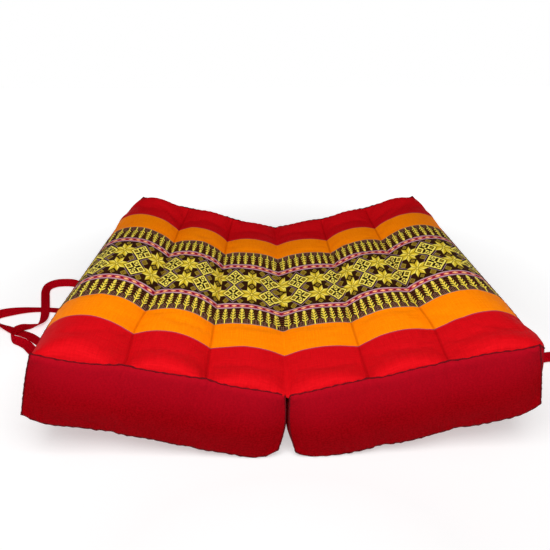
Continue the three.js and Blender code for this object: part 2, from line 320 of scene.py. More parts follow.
@dataclass(frozen=True)
class StripedCloth:
    """The woven top: red, orange and a band of flowers, lattices and trees between border lines.

    The places are distances from the middle of the cloth along the fold, in millimetres.
    """

    name: str = "striped_top"
    red_from: float = 158.0
    orange_from: float = 105.5
    trees_from: float = 66.0
    border_from: float = 53.0
    row_at: float = 22.8
    pitch: float = 48.0
    red: tuple[int, int, int] = (206, 13, 23)
    deep_red: tuple[int, int, int] = (188, 8, 16)
    orange: tuple[int, int, int] = (255, 140, 4)
    deep_orange: tuple[int, int, int] = (250, 124, 0)
    shadow: tuple[int, int, int] = (34, 17, 7)
    ground: tuple[int, int, int] = (60, 30, 13)
    brown: tuple[int, int, int] = (94, 46, 26)
    gold: tuple[int, int, int] = (222, 193, 46)
    # pale gold of hearts, lattice lines and trees, also the painted highlight on one half of each petal
    light: tuple[int, int, int] = (250, 230, 100)
    olive: tuple[int, int, int] = (156, 130, 30)
    lilac: tuple[int, int, int] = (196, 156, 168)
    crimson: tuple[int, int, int] = (188, 50, 60)
    peach: tuple[int, int, int] = (255, 190, 130)
    mauve: tuple[int, int, int] = (170, 60, 84)
    moss: tuple[int, int, int] = (160, 140, 48)
    fringe: tuple[int, int, int] = (140, 104, 84)
    # painted shade along the channel seams: the tint colour, then the seams' places on the cloth
    crease: tuple[int, int, int] = (218, 200, 200)
    creases: tuple[float, ...] = (-179.5, -92.5, 80.0, 167.0)
    gloss: float = 0.012
    sheen: float = 0.01
    weave: Weave = field(default_factory=Weave)

    def flowers(self, graph: Graph, s: Shade, row: Shade, color: object) -> object:
        """Eight-petalled flowers, one column every pitch, each petal with a painted highlight on one half."""
        x = abs((s + self.pitch / 2) % self.pitch - self.pitch / 2) / 14.0
        y = abs(row) / 22.4
        far, near = x.math("MAXIMUM", y), x.math("MINIMUM", y)
        tilt = math.radians(22.5)
        along = far * math.cos(tilt) + near * math.sin(tilt)
        side = near * math.cos(tilt) - far * math.sin(tilt)
        width = (along / 0.56).math("MINIMUM", (1.06 - along) / 0.5) * 0.222
        petal = abs(side) < width
        color = graph.blend(petal, color, srgb(*self.olive))
        body = abs(side) < width - 0.03
        color = graph.blend(body, color, srgb(*self.gold))
        # painted highlight: one half of each petal is lighter, as if lit from that side
        color = graph.blend(body * (side > 0.02), color, srgb(*self.light))
        heart = x + y
        color = graph.blend(heart < 0.2, color, srgb(*self.olive))
        return graph.blend(heart < 0.11, color, srgb(*self.light))

    def lattices(self, graph: Graph, s: Shade, row: Shade, color: object) -> object:
        """Diamonds of fretwork between the flowers, with pale lines outside them.

        A diamond has a nested square at its left and right, and four brackets round a cross at its top and
        bottom, so it is the same in a mirror either way.
        """
        x = (s % self.pitch - self.pitch / 2) / 14.8
        y = row / 22.8
        across, down = abs(x + y) * 4.5, abs(x - y) * 4.5
        reach = across.math("MAXIMUM", down)
        color = graph.blend(reach.within(5.3, 5.65) * 0.6, color, srgb(*self.lilac))
        color = graph.blend(reach < 4.95, color, srgb(*self.shadow))
        i, j = abs(across - 2.55), abs(down - 2.55)
        far, near = i.math("MAXIMUM", j), i.math("MINIMUM", j)
        ring = far.within(1.1, 1.9)
        beside = abs(x) > abs(y)
        brackets = ring * (near > 0.3)
        cross = (near < 0.3) * (far < 0.85)
        lines = beside * ring + (1.0 - beside) * brackets.math("MAXIMUM", cross)
        lines = lines.math("MAXIMUM", reach < 0.55).math("MAXIMUM", reach > 3.8)
        color = graph.blend((reach < 4.5) * beside * (far < 0.7), color, srgb(*self.olive))
        return graph.blend((reach < 4.5) * lines, color, srgb(*self.light))

    def squares(self, graph: Graph, s: Shade, t: Shade, color: object) -> object:
        """Small hatched squares between the rows and at the border lines."""
        across = abs(s % self.pitch - self.pitch / 2)
        for place, size in ((9.6, 4.4), (24.0, 3.2)):
            x = abs(across - place) / size
            for level in (0.0, 2 * self.row_at):
                reach = x + abs(abs(t) - level) / (size * 1.7)
                hatch = ((s + t * 0.55) % 2.6) < 1.4
                color = graph.blend(reach < 1.0, color, srgb(*self.brown))
                color = graph.blend((reach < 1.0) * hatch, color, srgb(*self.olive))
                color = graph.blend(reach.within(0.72, 1.0), color, srgb(*self.moss))
        return color

    def trees(self, graph: Graph, s: Shade, away: Shade) -> object:
        """Rows of small trees with their crowns at the border line and their stalks at the orange."""
        step = self.pitch * 2 / 9
        x = abs(s % step - step / 2)
        rise = (away - self.trees_from) / (self.orange_from - self.trees_from)
        between = step / 2 - x
        zigzag = ((rise * 7.0 - between * 0.16) % 1.0) < 0.36
        color = graph.blend(zigzag, srgb(*self.shadow), srgb(*self.brown))
        lines = ((x % 2.1) < 0.7) * (rise > 0.7)
        color = graph.blend(lines * 0.75, color, srgb(*self.fringe))
        tier = ((rise + x * 0.034 - 0.2) / 0.17) % 1.0
        leaves = (tier + x * 0.05 < 0.54) * (x < 1.9 + rise * 2.8) * rise.within(0.17, 0.74)
        bud = x / 2.1 + abs(rise - 0.11) / 0.1 < 1.0
        color = graph.blend((x < 0.8) * (rise > 0.1), color, srgb(*self.gold))
        color = graph.blend(leaves.math("MAXIMUM", bud), color, srgb(*self.gold))
        tips = leaves * (tier + x * 0.05 > 0.12) * (tier + x * 0.05 < 0.5)
        color = graph.blend(tips.math("MAXIMUM", bud * (x < 1.6)) * 0.8, color, srgb(*self.light))
        return graph.blend((x < 0.8) * (rise > 0.78) * 0.6, color, srgb(*self.light))

    def border(self, graph: Graph, s: Shade, away: Shade) -> object:
        """A pale line with a crimson core, peach dashes and dark lozenges between them."""
        step = self.pitch * 2 / 9
        x = abs(s % step - step / 2)
        y = abs(away - (self.border_from + self.trees_from) / 2)
        color = graph.blend(y < 3.9, srgb(*self.lilac), srgb(*self.crimson))
        color = graph.blend(y.within(3.1, 3.9) * 0.5, color, srgb(*self.mauve))
        color = graph.blend((step / 2 - x) / 2.4 + y / 2.6 < 1.0, color, srgb(132, 14, 48))
        return graph.blend(x / 3.6 + y / 2.6 < 1.0, color, srgb(*self.peach))

    def make(self) -> bpy.types.Material:
        """The material."""
        graph = Graph(self.name)
        u, v = graph.cloth()
        wander = (graph.noise(u * 0.02, v * 0.02) - 0.5) * 2.4
        s = u + (graph.noise(u * 0.018 + 7.0, v * 0.018) - 0.5) * 2.0
        t = v + wander
        away = abs(t)
        row = away - self.row_at

        streaks = self.weave.streaks(graph, u, v)
        dye = (streaks - 0.5) * 2.0 + (graph.noise(u * 0.45, v * 0.45) - 0.5) * 0.7 + 0.5
        color = graph.blend(dye, srgb(*self.red), srgb(*self.deep_red))
        orange = graph.blend(dye, srgb(*self.orange), srgb(*self.deep_orange))
        color = graph.blend(away < self.red_from + 0.9, color, srgb(*self.mauve))
        color = graph.blend(away < self.red_from - 0.6, color, orange)
        color = graph.blend(away < self.orange_from + 0.8, color, srgb(150, 120, 112))
        color = graph.blend(away < self.orange_from - 0.5, color, self.trees(graph, s, away))
        color = graph.blend(away < self.trees_from, color, self.border(graph, s, away))

        band = graph.blend(graph.noise(u * 0.5, v * 0.5), srgb(*self.shadow), srgb(*self.ground))
        band = self.squares(graph, s, t, band)
        band = self.lattices(graph, s, row, band)
        band = self.flowers(graph, s, row, band)
        color = graph.blend(away < self.border_from, color, band)
        color = graph.tint((streaks - 0.3) * 0.35, color, srgb(190, 170, 160))
        # painted shade: a thin darker line along each channel seam, where the cloth dips into its groove
        for place in self.creases:
            color = graph.tint(1.0 - abs(u - place) / 2.4, color, srgb(*self.crease))

        relief = (away < self.trees_from) * graph.noise(u * 0.45, v * 0.45) * 0.25
        graph.bump(self.weave.height(graph, u, v) + relief, 0.0006, 0.5)
        rough = 0.62 + (streaks - 0.5) * 0.2
        return graph.finish(
            Base_Color=color,
            Roughness=rough,
            Specular_IOR_Level=self.gloss,
            Sheen_Weight=self.sheen,
            Sheen_Roughness=0.4,
            Sheen_Tint=srgb(*self.red),
        )


@dataclass(frozen=True)
class Thread:
    """Sewing thread and the folded edges in the seams, in a colour that here also holds painted shade or painted light.
    """

    name: str
    color: tuple[int, int, int]

    def make(self) -> bpy.types.Material:
        """The material."""
        graph = Graph(self.name)
        place = graph.node("ShaderNodeTexCoord", {}, {}, "Object")
        grain = Shade(graph, graph.node("ShaderNodeTexNoise", {}, {"Vector": place, "Scale": 900.0, "Detail": 2.0}))
        darker = tuple(int(part * 0.55) for part in self.color)
        color = graph.blend(grain, srgb(*self.color), srgb(*darker))
        graph.bump(grain, 0.0004, 0.6)
        return graph.finish(Base_Color=color, Roughness=0.8, Specular_IOR_Level=0.1)


@dataclass(frozen=True)
class Channel:
    """A sewn channel, with the sink of the seam on its outer side and the crowns of both cloths."""

    width: float
    outer_sink: float
    top_crown: float
    under_crown: float


@dataclass(frozen=True)
class Strip:
    """A side strip: its bow, where that is greatest, its share at the corner seams and its reach from them."""

    bow: float
    peak_share: float
    corner_share: float
    reach: float = 38.0


@dataclass(frozen=True)
class HalfTraits:
    """What sets one half apart from the other."""

    node: str
    turned: bool
    crown_share: float
    ripple_phase: float
    bulge: float
    flare: float
    back_draw: float
    back_end: int
    drop_at_fold: float
    drop_at_corner: float
    front_rise: float
    rise_span: float
    back_lift_at_fold: float
    back_lift_at_corner: float
    inner_lift: float
    outer_lift: float
    woven_lead: float
    woven_tuck: float
    back_bump: float
    back_ear: float
    front_ear: float


@dataclass
class CushionForm:
    """The sewn shape of a half, from the same sizes as its solid."""

    depth: float = 450.0
    boxing: float = 105.5
    tilt: float = math.radians(14.5)
    sink: float = 5.0
    fold_edge: float = 2.4
    inner_lean: float = 14.0
    channels: tuple[Channel, ...] = (
        Channel(87, 11.5, 4.5, 10),
        Channel(87, 11.0, 8.6, 8),
        Channel(93, 17.0, 13.0, 7),
    )
    inner: Strip = Strip(12.5, 0.52, 0.33)
    outer: Strip = Strip(13.0, 0.42, 0.1, 120.0)
    end: Strip = Strip(8.0, 0.5, 0.0)
    roll_reach: float = 38.0
    roll_power: float = 2.2
    end_fullness: float = 0.4
    front_bump: float = 6.5
    back_ear_span: float = 100.0
    front_ear_span: float = 60.0
    bulge_reach: float = 38.0
    under_rise: float = 4.0
    floor_rounding: float = 4.0
    fold_sag: float = 7.0
    outer_sag: float = 1.0
    sag_reach: float = 120.0
    lip: float = 3.0
    lip_reach: float = 5.0
    groove: float = 1.4
    pucker: float = 0.32
    tuck_reach: float = 56.0
    outer_skew: float = 1.35
    valley_lean: float = 5.0
    wrap: float = 22.0
    wrap_reach: float = 50.0

    @property
    def width(self) -> float:
        """Width of a half across its channels."""
        return sum(channel.width for channel in self.channels)

    @property
    def valleys(self) -> np.ndarray:
        """Distances of the channel seams from the fold."""
        return np.cumsum([channel.width for channel in self.channels[:-1]])

    @property
    def half_depth(self) -> float:
        """Distance of the front and back seams from the middle."""
        return self.depth / 2

    @property
    def fold_height(self) -> float:
        """Height of the fold over the floor."""
        return self.boxing * math.cos(self.tilt) - self.sink

    def roll(self, distance: np.ndarray, reach: np.ndarray | float | None = None) -> np.ndarray:
        """Rises from 0 at a seam to 1 at the reach from it."""
        reach = self.roll_reach if reach is None else reach
        return 1 - (1 - np.clip(distance / reach, 0, 1)) ** self.roll_power

    def ear(self, to_end: np.ndarray, at_back: np.ndarray, half: HalfTraits) -> np.ndarray:
        """How far the outer edge stands out beside its corners, where they are drawn in."""
        size = np.where(at_back, half.back_ear, half.front_ear)
        span = np.where(at_back, self.back_ear_span, self.front_ear_span)
        fade = np.clip(2 * (1 - to_end / span), 0, 1)
        return size * self.roll(to_end, 0.2 * span) * fade**2 * (3 - 2 * fade)

    def channel_at(self, share: np.ndarray) -> dict[str, np.ndarray]:
        """What the channels are at shares of the width.

        Args:
            share: from 0 at the fold to 1 at the outer seam.

        Returns:
            The place across, the arch over the channel, the sink of its chord and its crowns.
        """
        scaled = share * len(self.channels)
        index = np.clip(np.floor(scaled + 1e-6).astype(int), 0, len(self.channels) - 1)
        within = np.clip(scaled - index, 0, 1)
        widths = np.array([channel.width for channel in self.channels])
        sinks = np.array([0.0, *(channel.outer_sink for channel in self.channels)])
        starts = np.concatenate([[0.0], np.cumsum(widths)])
        return {
            "across": starts[index] + within * widths[index],
            "arch": 1 - (2 * within ** np.where(index == len(self.channels) - 1, self.outer_skew, 1.0) - 1) ** 2,
            "sink": sinks[index] * (1 - within) + sinks[index + 1] * within,
            "top_crown": np.array([channel.top_crown for channel in self.channels])[index],
            "under_crown": np.array([channel.under_crown for channel in self.channels])[index],
        }

    def seam_pull(self, across: np.ndarray) -> np.ndarray:
        """How far a front or back seam is pulled in."""
        share = across / self.width
        return 2.5 * 4 * share * (1 - share) + self.seam_nip(across)

    def seam_nip(self, across: np.ndarray) -> np.ndarray:
        """How far a channel seam draws in a front or back seam."""
        return sum(2.0 * np.exp(-(((across - valley) / 9.0) ** 2)) for valley in self.valleys)

    def seam_ripple(self, across: np.ndarray, phase: float) -> np.ndarray:
        """The unevenness of a sewn edge."""
        waves = ((1.2, 190.0), (0.7, 78.0), (0.4, 11.3))
        return sum(
            height * np.sin(2 * np.pi * across / length + phase * (order + 1))
            for order, (height, length) in enumerate(waves)
        )

    def quilted(self, a: np.ndarray, b: np.ndarray, level: Level, half: HalfTraits) -> np.ndarray:
        """Points of the top or underside cloth in the half's own level frame.

        Args:
            a: share of the width from the fold.
            b: place along the fold from -1 to 1.
            level: which cloth.
            half: the half.

        Returns:
            One row for each point: outwards, along and up.
        """
        is_top = level is Level.TOP
        found = self.channel_at(a)
        across, arch = found["across"], found["arch"]
        pull = self.seam_pull(across)
        along = b * (self.half_depth - pull)
        to_end = self.half_depth - pull - np.abs(along)
        end_roll = self.roll(to_end)

        draw = half.back_draw * ((1 + half.back_end * along / self.half_depth) / 2) ** 14
        outer_edge = self.width - draw + (0 if is_top else half.flare)
        share = across / self.width
        out = self.fold_edge + share * (outer_edge - self.fold_edge)
        at_back = along * half.back_end > 0
        if is_top:
            out = out + (half.bulge * self.roll(to_end, self.bulge_reach) + self.ear(to_end, at_back, half)) * share**6
        else:
            out = out - self.inner_lean * (1 - a) ** 6

        lean = np.exp(-(((share - 0.65) / 0.17) ** 2) - ((along * half.back_end + 150) / 45) ** 2)
        out = out + self.valley_lean * lean

        corner = (1 - end_roll) * (1 - self.roll(self.width - across))
        lift = corner * (np.where(at_back, 1.0, 3.0) if is_top else half.outer_lift)
        if not is_top:
            lift = lift + half.inner_lift * (1 - end_roll) * (1 - self.roll(across, 26.0))
        offset = np.where(at_back, self.back_offset(share, level, half), self.front_offset(share, level, half))
        lift = lift + (1 - end_roll) * offset
        ripple = (1 - end_roll) * self.seam_ripple(across, half.ripple_phase + level.value)
        if is_top:
            fullness = half.crown_share * (1 + self.end_fullness * (along / self.half_depth) ** 2)
            bump = np.where(at_back, half.back_bump * (0.4 + 0.6 * share), self.front_bump)
            swell = end_roll * (fullness * found["top_crown"] + 4 * (1 - end_roll) * bump) * arch
            up = swell - end_roll * found["sink"] - self.sag(share, along) - self.pinch(across, to_end)
            along = along + np.sign(b) * self.lip * self.gather(across) * self.lip_shape(to_end)
        else:
            side_roll = self.roll(across) * self.roll(self.width - across)
            up = -end_roll * (self.under_rise * side_roll + found["under_crown"] * arch) - self.boxing
        return np.stack([out, along, up + lift + ripple], axis=1)

    def front_offset(self, share: np.ndarray, level: Level, half: HalfTraits) -> np.ndarray:
        """How far a half's front seam lies off the level at a share of the width."""
        if level is Level.TOP:
            return -(half.drop_at_fold + (half.drop_at_corner - half.drop_at_fold) * share**2)
        return half.front_rise * np.sin(np.pi * np.minimum(share / half.rise_span, 1))

    def back_offset(self, share: np.ndarray, level: Level, half: HalfTraits) -> np.ndarray:
        """How far a half's back seam lies off the level at a share of the width."""
        if level is Level.UNDER:
            return np.zeros_like(share)
        return half.back_lift_at_fold + (half.back_lift_at_corner - half.back_lift_at_fold) * share

    def gather(self, across: np.ndarray) -> np.ndarray:
        """How full the cloth stands over a front or back seam, drawn up in small uneven puckers."""
        return 1 + self.pucker * np.sin(across / 1.75 + 2.1 * np.sin(across / 17.0))

    def woven(self, across: np.ndarray, half: HalfTraits) -> np.ndarray:
        """Place on the woven cloth from the middle of a flower, with some of it tucked into the fold."""
        return across + half.woven_lead + half.woven_tuck * np.clip(1 - (across / self.tuck_reach) ** 2, 0, 1)

    def sag(self, share: np.ndarray, along: np.ndarray) -> np.ndarray:
        """How far the top sinks between front and back, most at the fold."""
        depth = self.fold_sag + (self.outer_sag - self.fold_sag) * np.minimum(share * 3, 1) ** 3
        return depth * np.clip(1 - (along / self.sag_reach) ** 2, 0, 1)

    def lip_shape(self, distance: np.ndarray) -> np.ndarray:
        """The roll of cloth over a seam: nothing on it and most at the lip's reach from it."""
        return distance / self.lip_reach * np.exp(1 - distance / self.lip_reach)

    def pinch(self, across: np.ndarray, to_end: np.ndarray) -> np.ndarray:
        """Narrow grooves along the channel seams, up to the front and back seams."""
        held = np.clip(to_end / 6.0, 0, 1)
        return sum(self.groove * np.exp(-(((across - valley) / 2.6) ** 2)) * held for valley in self.valleys)

    def bow(self, strip: Strip, down: np.ndarray, corner_distance: np.ndarray) -> np.ndarray:
        """Outward bow of a side strip at a share of its height from the top."""
        skew = math.log(0.5) / math.log(strip.peak_share)
        fullness = strip.corner_share + (1 - strip.corner_share) * self.roll(corner_distance, strip.reach)
        return strip.bow * np.sin(np.pi * np.clip(down, 0, 1) ** skew) * fullness

    def strip(self, a: np.ndarray, b: np.ndarray, c: np.ndarray, half: HalfTraits) -> np.ndarray:
        """Points of the side strips at a share c of the height, in the half's own level frame."""
        top = self.quilted(a, b, Level.TOP, half)
        under = self.quilted(a, b, Level.UNDER, half)
        point = under + (top - under) * c[:, None]
        to_end = self.half_depth - np.abs(point[:, 1])
        to_side = np.minimum(point[:, 0], self.width - point[:, 0])
        point[:, 0] -= self.bow(self.inner, 1 - c, to_end) * (1 - a) ** 6
        ear = self.ear(to_end, point[:, 1] * half.back_end > 0, half)
        point[:, 0] += (self.bow(self.outer, 1 - c, to_end) - ear * (c - c**4)) * a**6
        free = (a > 0) & (a < 1)
        point[:, 1] += np.sign(b) * self.bow(self.end, 1 - c, to_side) * free
        fold_over = self.lip_shape((1 - c) * self.boxing) + self.lip_shape(c * self.boxing)
        across = self.channel_at(a)["across"]
        out = 2.4 * fold_over * self.gather(across + 5.0) + self.seam_nip(across) * np.sin(np.pi * c) ** 0.5
        point[:, 1] += np.sign(b) * out * free * (np.abs(b) > 1 - 1e-6)
        return point

    def wrapped(self, b: np.ndarray) -> np.ndarray:
        """How far the top cloth reaches down over the outer strip."""
        return self.wrap * self.roll(self.half_depth * (1 - np.abs(b)), self.wrap_reach)

    def cover(self, a: np.ndarray, b: np.ndarray, c: np.ndarray, half: HalfTraits) -> tuple[np.ndarray, np.ndarray]:
        """Points of the whole cover in the half's own level frame.

        Args:
            a: share of the width from the fold.
            b: place along the fold from -1 to 1.
            c: share of the height, 0 on the underside and 1 on the top cloth.
            half: the half.

        Returns:
            The points, and the distance on the cloth from the fold for each.
        """
        last = self.channels[-1].width
        count = len(self.channels)
        drape = self.wrapped(b)
        reach = (a * count - (count - 1)) * (1 + drape / last)
        on_top = np.where(a * count > count - 1, (count - 1 + np.clip(reach, 0, 1)) / count, a)
        over = np.maximum(reach - 1, 0) * last
        top = self.quilted(on_top, b, Level.TOP, half)
        draped = self.strip(np.ones_like(a), b, 1 - over / self.boxing, half)
        top = np.where((over > 1e-6)[:, None], draped, top)
        under = self.quilted(a, b, Level.UNDER, half)
        side = self.strip(a, b, c * np.where(a > 1 - 1e-6, 1 - drape / self.boxing, 1), half)
        point = np.where((c > 1 - 1e-6)[:, None], top, np.where((c < 1e-6)[:, None], under, side))
        flat = self.channel_at(on_top)["across"] + over
        return point, np.where(c > 1 - 1e-6, flat, self.channel_at(a)["across"])

    def settle(self, level: np.ndarray, half: HalfTraits) -> np.ndarray:
        """Tilts level points up about the fold, presses them on the floor and puts them in the row frame."""
        out = level[:, 0] * math.cos(self.tilt) - level[:, 2] * math.sin(self.tilt)
        up = self.fold_height + level[:, 0] * math.sin(self.tilt) + level[:, 2] * math.cos(self.tilt)
        soft = (up + self.floor_rounding) ** 2 / (4 * self.floor_rounding)
        pressed = np.where(up >= self.floor_rounding, up, np.where(up <= -self.floor_rounding, 0, soft))
        turn = -1 if half.turned else 1
        return np.stack([turn * np.maximum(out, 0.15), turn * level[:, 1], pressed], axis=1)


@dataclass
class HalfCover:
    """One filled half with its striped top, side strips and plain underside."""

    form: CushionForm
    half: HalfTraits
    steps_per_channel: int = 30
    steps_along: int = 80
    steps_of_height: int = 20
    crowding: float = 0.25
    height_crowding: float = 0.6
    end_crowding: float = 0.32
    pressure: float = 12.0
    spare_cloth: float = 0.006
    frames: int = 16
    cap: float = 6.0

    @property
    def name(self) -> str:
        """Name of the piece."""
        return self.half.node.replace("half", "cover")

    def crowd(self, share: np.ndarray, amount: float) -> np.ndarray:
        """Moves even shares from 0 to 1 closer to both ends."""
        return share - amount * np.sin(2 * np.pi * share) / (2 * np.pi)

    def grid_shares(self, places: np.ndarray) -> tuple[np.ndarray, np.ndarray, np.ndarray]:
        """The shares across, along and up of a stepped box's vertices."""
        count = len(self.form.channels)
        scaled = (places[:, 0] + 0.5) * count
        index = np.clip(np.floor(scaled + 1e-5), 0, count - 1)
        a = (index + self.crowd(np.clip(scaled - index, 0, 1), self.crowding)) / count
        even = 2 * places[:, 1]
        b = even * (1 + self.end_crowding * (1 - even**2))
        c = self.crowd(np.clip(places[:, 2] + 0.5, 0, 1), self.height_crowding)
        return np.clip(a, 0, 1), np.clip(b, -1, 1), c

    def stepped(self) -> bpy.types.Mesh:
        """A stepped box with its panels numbered and its sewn edges creased."""
        count = len(self.form.channels)
        box = stepped_box((self.steps_per_channel * count, self.steps_along, self.steps_of_height))
        box.normal_update()
        for face in box.faces:
            if abs(face.normal.z) > 0.9:
                face.material_index = Panel.TOP if face.normal.z > 0 else Panel.UNDER
            else:
                face.material_index = Panel.LONG_STRIP if abs(face.normal.x) > 0.9 else Panel.SHORT_STRIP
            face.smooth = True
        crease = box.edges.layers.float.new("crease_edge")
        for edge in box.edges:
            panels = {face.material_index for face in edge.link_faces}
            valley = panels <= {Panel.TOP, Panel.UNDER} and self.on_valley(edge)
            if len(panels) > 1:
                edge[crease] = 0.75
            elif valley:
                edge[crease] = 0.55
        mesh = bpy.data.meshes.new(self.name)
        box.to_mesh(mesh)
        box.free()
        return mesh

    def on_valley(self, edge: bmesh.types.BMEdge) -> bool:
        """Whether an edge of the stepped box lies along a channel seam."""
        count = len(self.form.channels)
        ends = [(vert.co.x + 0.5) * count for vert in edge.verts]
        inside = 0.5 < ends[0] < count - 0.5
        return inside and all(abs(end - round(end)) < 1e-3 for end in ends) and abs(ends[0] - ends[1]) < 1e-3

    def map_cloth(self, mesh: bpy.types.Mesh, across: np.ndarray, b: np.ndarray, c: np.ndarray) -> None:
        """Lays each panel flat in the cloth map, in metres, with the top as woven from half to half."""
        along = b * self.form.half_depth
        up = c * self.form.boxing
        loops = np.empty(len(mesh.loops), dtype=int)
        mesh.loops.foreach_get("vertex_index", loops)
        panels = np.empty(len(mesh.polygons), dtype=int)
        mesh.polygons.foreach_get("material_index", panels)
        sizes = np.empty(len(mesh.polygons), dtype=int)
        mesh.polygons.foreach_get("loop_total", sizes)
        panel = np.repeat(panels, sizes)
        turn = -1 if self.half.turned else 1
        top = turn * self.form.woven(across[loops], self.half)
        plain = np.where(panel == Panel.LONG_STRIP, along[loops], turn * across[loops])
        flat_u = np.where(panel == Panel.TOP, top, plain)
        cloths = (panel == Panel.TOP) | (panel == Panel.UNDER)
        flat_v = np.where(cloths, turn * along[loops], up[loops])
        uv = mesh.uv_layers.new(name=CLOTH_MAP)
        uv.data.foreach_set("uv", (np.stack([flat_u, flat_v], axis=1) * MM).ravel())

    def sewn(self, shares: tuple[np.ndarray, np.ndarray, np.ndarray], places: np.ndarray) -> np.ndarray:
        """Which vertices are held by a seam, the floor or the other half."""
        a, b, c = shares
        rims = (c < 1e-6) | (c > 1 - 1e-6)
        ends = np.abs(np.abs(b) - 1) < 1e-6
        sides = (a < 1e-6) | (a > 1 - 1e-6)
        count = len(self.form.channels)
        valleys = rims & (np.abs(a * count - np.round(a * count)) < 1e-5)
        seams = (rims & (ends | sides)) | (ends & sides) | valleys
        floor = places[:, 2] < 0.6
        fold = np.abs(places[:, 0]) < 1.6
        return seams | floor | fold

    def fill(self, piece: bpy.types.Object, held: np.ndarray) -> None:
        """Fills the cover by a cloth simulation with pressure and applies the result.

        Args:
            piece: the cover, in the scene.
            held: which vertices stay where they are.
        """
        group = piece.vertex_groups.new(name="sewn")
        group.add(np.flatnonzero(held).tolist(), 1.0, "REPLACE")
        cloth = piece.modifiers.new("filling", "CLOTH")
        settings = cloth.settings
        settings.quality = 5
        settings.mass = 0.25
        settings.tension_stiffness = 18.0
        settings.compression_stiffness = 18.0
        settings.shear_stiffness = 6.0
        settings.bending_stiffness = 0.6
        settings.tension_damping = 8.0
        settings.compression_damping = 8.0
        settings.shrink_min = -self.spare_cloth
        settings.use_pressure = True
        settings.uniform_pressure_force = self.pressure
        settings.vertex_group_mass = group.name
        settings.effector_weights.gravity = 0.0
        cloth.collision_settings.use_collision = False
        cloth.point_cache.frame_start = 1
        cloth.point_cache.frame_end = self.frames
        scene = bpy.context.scene
        for step in range(1, self.frames + 1):
            scene.frame_set(step)
        filled = piece.evaluated_get(bpy.context.evaluated_depsgraph_get())
        after = vertex_places(filled.data)
        before = vertex_places(piece.data)
        piece.modifiers.remove(cloth)
        piece.vertex_groups.remove(group)
        scene.frame_set(1)
        put_vertices(piece.data, self.capped(before, after))

    def capped(self, before: np.ndarray, after: np.ndarray) -> np.ndarray:
        """Keeps each point near where it started, over the floor and on its own side of the fold."""
        move = after - before
        size = np.linalg.norm(move, axis=1, keepdims=True)
        cap = self.cap * MM
        places = before + move * np.where(size > 1e-9, cap * np.tanh(size / cap) / np.maximum(size, 1e-9), 0)
        places[:, 2] = np.maximum(places[:, 2], 0)
        turn = -1 if self.half.turned else 1
        places[:, 0] = turn * np.maximum(turn * places[:, 0], 0.15 * MM)
        return places

    def build(self) -> bpy.types.Object:
        """Makes the cover, fills it and rounds it."""
        mesh = self.stepped()
        shares = self.grid_shares(vertex_places(mesh))
        level, across = self.form.cover(*shares, self.half)
        places = self.form.settle(level, self.half)
        put_vertices(mesh, places * MM)
        self.map_cloth(mesh, across, shares[1], shares[2])
        piece = link(self.name, mesh)
        self.fill(piece, self.sewn(shares, places))
        rounding = piece.modifiers.new("rounding", "SUBSURF")
        rounding.levels = 1
        rounding.render_levels = 1
        return piece

    def dress(self, piece: bpy.types.Object, top: bpy.types.Material, side: bpy.types.Material,
              under: bpy.types.Material) -> None:
        """Gives the panels their cloths, hangs the piece on the root and hides the half's solid."""
        for material in (top, side, side, under):
            piece.data.materials.append(material)
        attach(piece, "root")
        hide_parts(self.half.node)


@dataclass
class FoldJoin:
    """The strip of top cloth that runs through the fold from half to half."""

    form: CushionForm
    reach: float = 9.0
    proud: float = 0.45
    sunk: float = 0.5
    dip: float = 1.2
    droop: float = 2.0
    droop_reach: float = 7.0
    thickness: float = 1.4
    steps: tuple[int, int, int] = (14, 130, 1)

    def build(self, left: HalfTraits, right: HalfTraits) -> bpy.types.Object:
        """Makes the strip over the inner top edges of both halves, rounded over their front and back seams."""
        box = stepped_box(self.steps)
        for face in box.faces:
            face.smooth = True
        mesh = bpy.data.meshes.new("fold_join")
        box.to_mesh(mesh)
        box.free()
        raw = vertex_places(mesh)
        across = raw[:, 0] * 2 * self.reach
        b = np.clip(raw[:, 1] * 2, -1, 1)
        b = b * (1 + 0.32 * (1 - b**2))
        away = np.maximum(np.abs(across) - self.form.fold_edge, 0)
        share = away / self.form.channels[0].width / len(self.form.channels)
        tops = [
            self.form.settle(self.form.quilted(share, b * turn, Level.TOP, half), half)
            for half, turn in ((left, -1), (right, 1))
        ]
        level = np.where((across < 0)[:, None], tops[0], tops[1])
        edge = np.abs(across) / self.reach
        height = level[:, 2] + self.proud - (self.proud + self.sunk) * edge**2 - self.dip * (1 - edge) ** 4
        to_end = self.form.half_depth * (1 - np.abs(b))
        height -= self.droop * np.clip(1 - to_end / self.droop_reach, 0, 1) ** 2
        height = np.where(raw[:, 2] > 0, height, height - self.thickness)
        places = np.stack([across, level[:, 1], height], axis=1)
        put_vertices(mesh, places * MM)
        self.map_cloth(mesh, across, b, left, right)
        return link(mesh.name, mesh)

    def map_cloth(self, mesh: bpy.types.Mesh, across: np.ndarray, b: np.ndarray, left: HalfTraits,
                  right: HalfTraits) -> None:
        """Carries the woven top of each half on to the middle of the fold.

        Args:
            mesh: the strip.
            across: each vertex's distance from the fold's middle, less than 0 on the left.
            b: each vertex's place along the fold from -1 to 1.
            left: the left half.
            right: the right half.
        """
        loops = np.empty(len(mesh.loops), dtype=int)
        mesh.loops.foreach_get("vertex_index", loops)
        sizes = np.empty(len(mesh.polygons), dtype=int)
        mesh.polygons.foreach_get("loop_total", sizes)
        middles = np.array([np.mean(across[list(face.vertices)]) for face in mesh.polygons])
        is_left = np.repeat(middles < 0, sizes)
        inward = np.abs(across[loops]) * (1 - self.form.fold_edge / self.reach)
        flat_u = np.where(is_left, -self.form.woven(inward, left), self.form.woven(inward, right))
        uv = mesh.uv_layers.new(name=CLOTH_MAP)
        uv.data.foreach_set("uv", (np.stack([flat_u, b[loops] * self.form.half_depth], axis=1) * MM).ravel())

    def dress(self, piece: bpy.types.Object, material: bpy.types.Material) -> None:
        """Gives the strip the top's cloth, hangs it on the root and hides the fold seam's solid."""
        piece.data.materials.append(material)
        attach(piece, "root")
        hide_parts("fold_seam")


